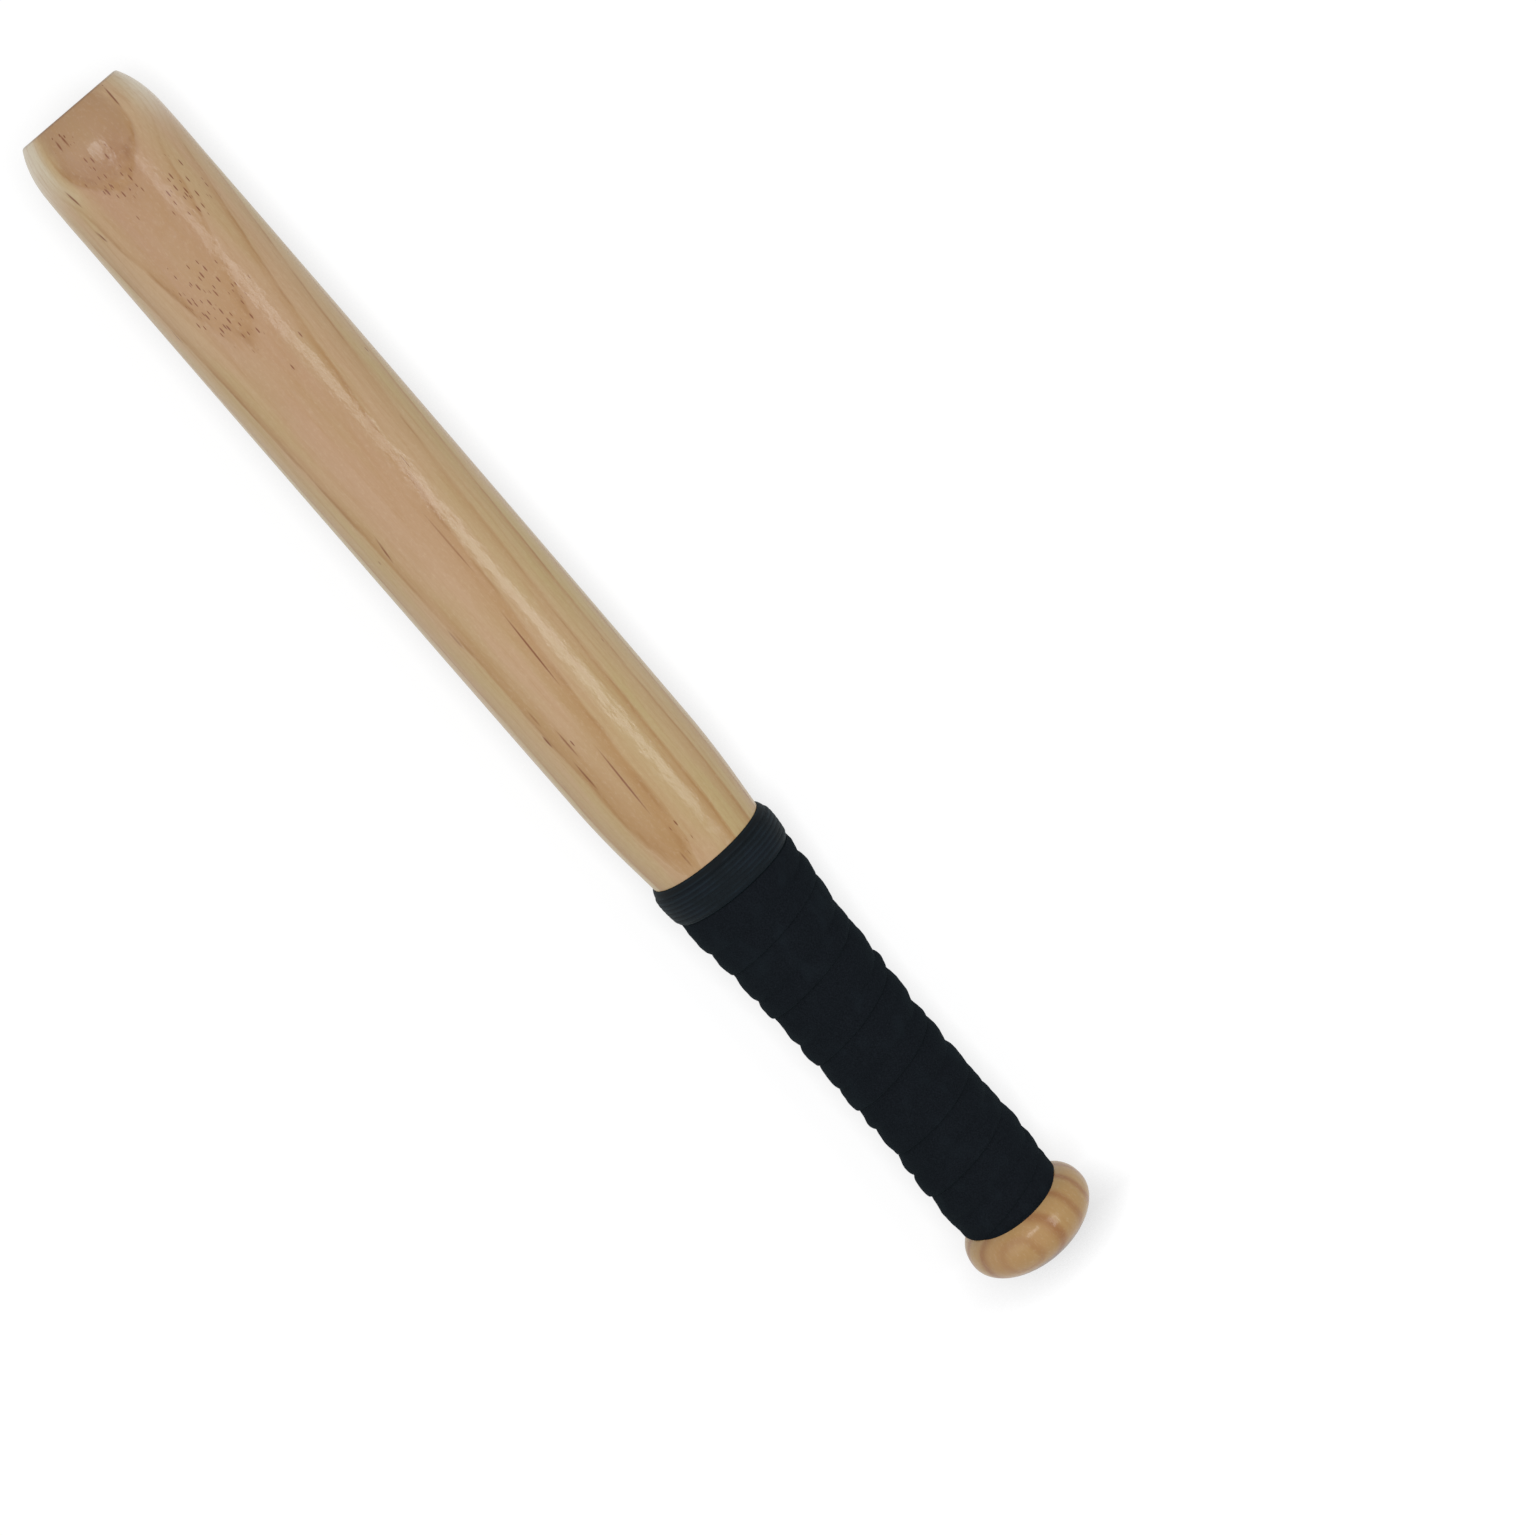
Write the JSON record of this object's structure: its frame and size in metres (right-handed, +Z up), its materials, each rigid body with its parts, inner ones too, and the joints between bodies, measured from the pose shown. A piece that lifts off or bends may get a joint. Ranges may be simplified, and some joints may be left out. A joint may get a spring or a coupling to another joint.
{
  "type": "rounders bat",
  "caption": "Round turned wooden rounders bat with a rounded tip, a handle wound in dark cloth tape, a ribbed elastic collar and a domed knob.",
  "frame": {"origin": "on the floor under the middle of the bat's length, with the bat lying on the widest ring of its barrel", "axes": "+X along the bat's axis from the tip to the knob, +Z up; the axis runs level at half the barrel's diameter above the floor"},
  "size_m": [0.457, 0.045, 0.045],
  "materials": {
    "lacquered_wood": "pale straight-grained wood under clear gloss lacquer",
    "grip_cloth": "near-black napped cloth tape, matt",
    "collar_elastic": "near-black ribbed elastic, dull"
  },
  "bodies": {
    "root": {"turned_bat": "lacquered_wood", "grip_tape": "grip_cloth", "grip_collar": "collar_elastic"}
  },
  "joints": []
}
